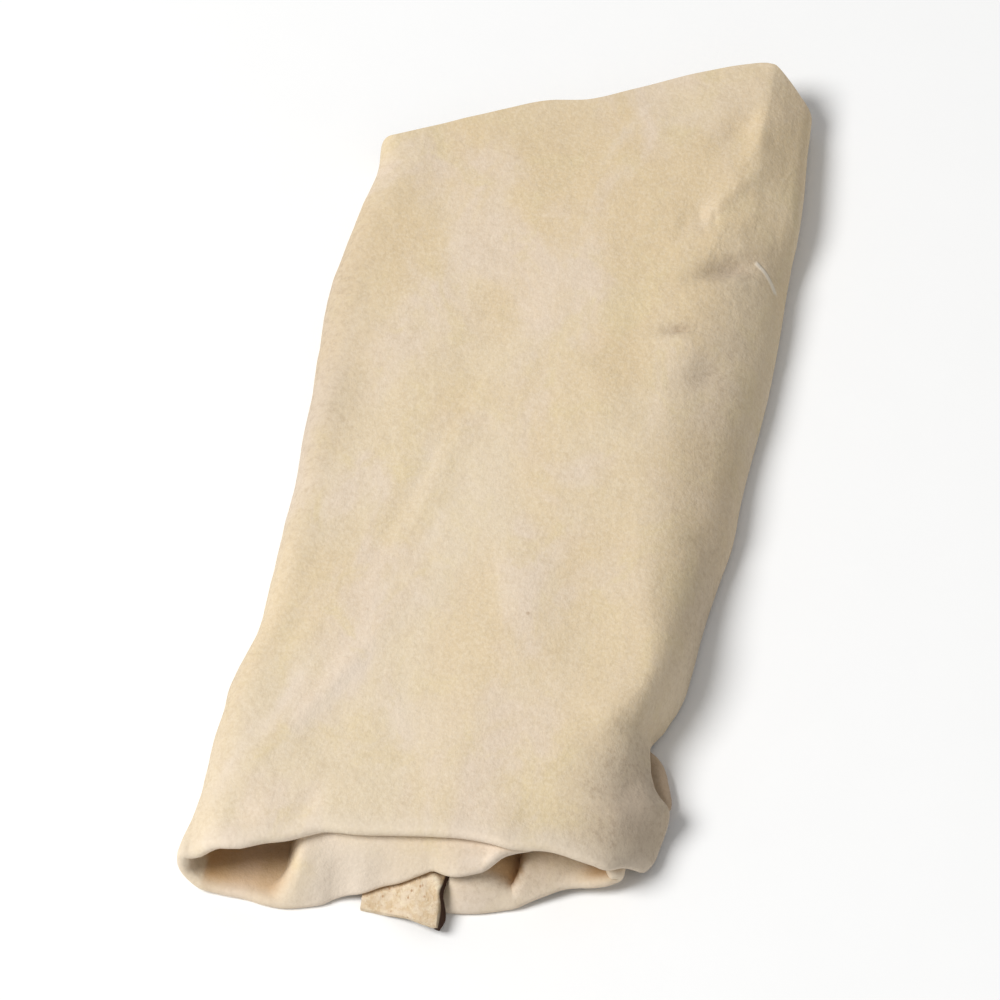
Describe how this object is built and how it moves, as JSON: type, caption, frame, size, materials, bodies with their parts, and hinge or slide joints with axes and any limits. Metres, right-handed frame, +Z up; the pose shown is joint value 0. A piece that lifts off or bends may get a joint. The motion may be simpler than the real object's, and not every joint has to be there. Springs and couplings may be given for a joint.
{
  "type": "chamois leather",
  "caption": "Natural suede drying leather, doubled across and rolled flat into a soft bundle with open loops and a loose corner at one end; its top cover folds open.",
  "frame": {"origin": "under the middle of the bundle's box, on the table that it lies on", "axes": "+Y along the roll from the open mouth to the far end, +X across it to the right, +Z up"},
  "size_m": [0.1446, 0.3358, 0.0256],
  "materials": {
    "outer_suede": "fine cream suede nap, matt",
    "inner_suede": "soft cream suede nap, matt, a little warmer",
    "flesh_side": "coarse golden flesh side, matt and fibrous"
  },
  "bodies": {
    "inner_roll": {"left_turn": "outer_suede", "lower_panel": "inner_suede", "inner_panel": "inner_suede", "right_loop": "inner_suede", "back_panel": "inner_suede", "corner_tab": "flesh_side", "side_hem": "outer_suede"},
    "cover": {"top_panel": "outer_suede", "right_flank": "outer_suede", "cover_lip": "outer_suede"}
  },
  "joints": [
    {"name": "cover_fold", "type": "hinge", "parent": "inner_roll", "child": "cover", "pos_m": [-0.06083, 0, 0.012], "axis": [0, -1, 0], "range_deg": [0, 100]}
  ]
}
